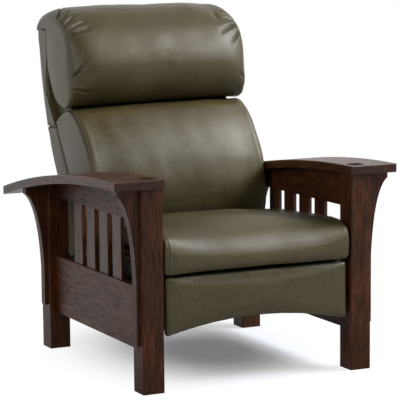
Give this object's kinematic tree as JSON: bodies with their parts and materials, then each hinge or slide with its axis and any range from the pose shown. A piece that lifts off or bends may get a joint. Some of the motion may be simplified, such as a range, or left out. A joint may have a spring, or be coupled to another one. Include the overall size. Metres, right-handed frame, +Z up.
{
  "type": "mission reclining armchair",
  "caption": "Oak mission armchair with bow arms, slatted sides and long corbels, leather cushions, a reclining back and a pop-out footrest.",
  "frame": {"origin": "on the floor, under the middle of the chair's footprint (arms, cushions and outer back included)", "axes": "+Z up, the sitter looks along -Y, +X is on the sitter's left; the sides are mirror images about X = 0"},
  "size_m": [0.911, 0.9788, 1.0723],
  "materials": {
    "stained_oak": "satin",
    "inner_hardwood": "matte",
    "leather": "satin",
    "webbing": "matte",
    "nylon": "matte",
    "zinc_steel": "satin",
    "black_steel": "satin"
  },
  "bodies": {
    "chair_frame": {"bow_arm_left": "stained_oak", "bow_arm_right": "stained_oak", "foot_glides": "nylon", "front_corbel_left": "stained_oak", "front_corbel_right": "stained_oak", "front_cross_rail": "stained_oak", "front_post_left": "stained_oak", "front_post_right": "stained_oak", "lower_side_rail_left": "stained_oak", "lower_side_rail_right": "stained_oak", "mechanism_cleat_left": "inner_hardwood", "mechanism_cleat_right": "inner_hardwood", "plate_bolts": "zinc_steel", "rear_corbel_left": "stained_oak", "rear_corbel_right": "stained_oak", "rear_cross_rail": "stained_oak", "rear_post_left": "stained_oak", "rear_post_right": "stained_oak", "recline_pins": "zinc_steel", "seat_block_left": "inner_hardwood", "seat_block_right": "inner_hardwood", "seat_cushion": "leather", "seat_front_rail": "inner_hardwood", "seat_rear_rail": "inner_hardwood", "seat_side_rail_left": "inner_hardwood", "seat_side_rail_right": "inner_hardwood", "seat_webbing": "webbing", "side_plate_left": "black_steel", "side_plate_right": "black_steel", "slat_1_left": "stained_oak", "slat_1_right": "stained_oak", "slat_2_left": "stained_oak", "slat_2_right": "stained_oak", "slat_3_left": "stained_oak", "slat_3_right": "stained_oak", "slat_4_left": "stained_oak", "slat_4_right": "stained_oak", "upper_side_rail_left": "stained_oak", "upper_side_rail_right": "stained_oak"},
    "reclining_back": {"back_shell": "leather", "lumbar_cushion": "leather", "headrest_pillow": "leather", "hinge_arms": "black_steel", "hinge_bolts": "zinc_steel", "back_frame_bottom_rail": "inner_hardwood", "back_frame_middle_rail": "inner_hardwood", "back_frame_side_left": "inner_hardwood", "back_frame_side_right": "inner_hardwood", "back_frame_top_rail": "inner_hardwood"},
    "long_link_pair": {"long_links": "black_steel", "long_link_pins": "zinc_steel"},
    "cross_link_pair": {"cross_links": "black_steel", "cross_link_pins": "zinc_steel", "tie_tube": "black_steel"},
    "outer_long_link_pair": {"outer_long_links": "black_steel"},
    "outer_cross_link_pair": {"outer_cross_links": "black_steel", "outer_cross_link_pins": "zinc_steel"},
    "footrest": {"footrest_brackets": "black_steel", "footrest_board": "inner_hardwood", "footrest_pad": "leather"}
  },
  "joints": [
    {"name": "back_recline", "type": "hinge", "parent": "chair_frame", "child": "reclining_back", "pos_m": [0, 0.10962, 0.316], "axis": [-1, 0, 0], "range_deg": [0, 30]},
    {"name": "footrest_extend", "type": "hinge", "parent": "chair_frame", "child": "long_link_pair", "pos_m": [0, -0.35767, 0.30791], "axis": [-1, 0, 0], "range_deg": [0, 58]},
    {"name": "cross_link_turn", "type": "hinge", "parent": "long_link_pair", "child": "cross_link_pair", "pos_m": [0, -0.37514, 0.24271], "axis": [-1, 0, 0], "range_deg": [-116, 0]},
    {"name": "outer_long_link_turn", "type": "hinge", "parent": "cross_link_pair", "child": "outer_long_link_pair", "pos_m": [0, -0.38102, 0.30996], "axis": [-1, 0, 0], "range_deg": [0, 116]},
    {"name": "outer_cross_link_turn", "type": "hinge", "parent": "long_link_pair", "child": "outer_cross_link_pair", "pos_m": [0, -0.39261, 0.17751], "axis": [-1, 0, 0], "range_deg": [-116, 0]},
    {"name": "footrest_turn", "type": "hinge", "parent": "outer_cross_link_pair", "child": "footrest", "pos_m": [0, -0.40438, 0.312], "axis": [-1, 0, 0], "range_deg": [0, 148]}
  ],
  "couplings": [
    {"joint": "cross_link_turn", "follows": "footrest_extend", "ratio": -2},
    {"joint": "outer_long_link_turn", "follows": "footrest_extend", "ratio": 2},
    {"joint": "outer_cross_link_turn", "follows": "footrest_extend", "ratio": -2},
    {"joint": "footrest_turn", "follows": "footrest_extend", "ratio": 2.5517}
  ]
}
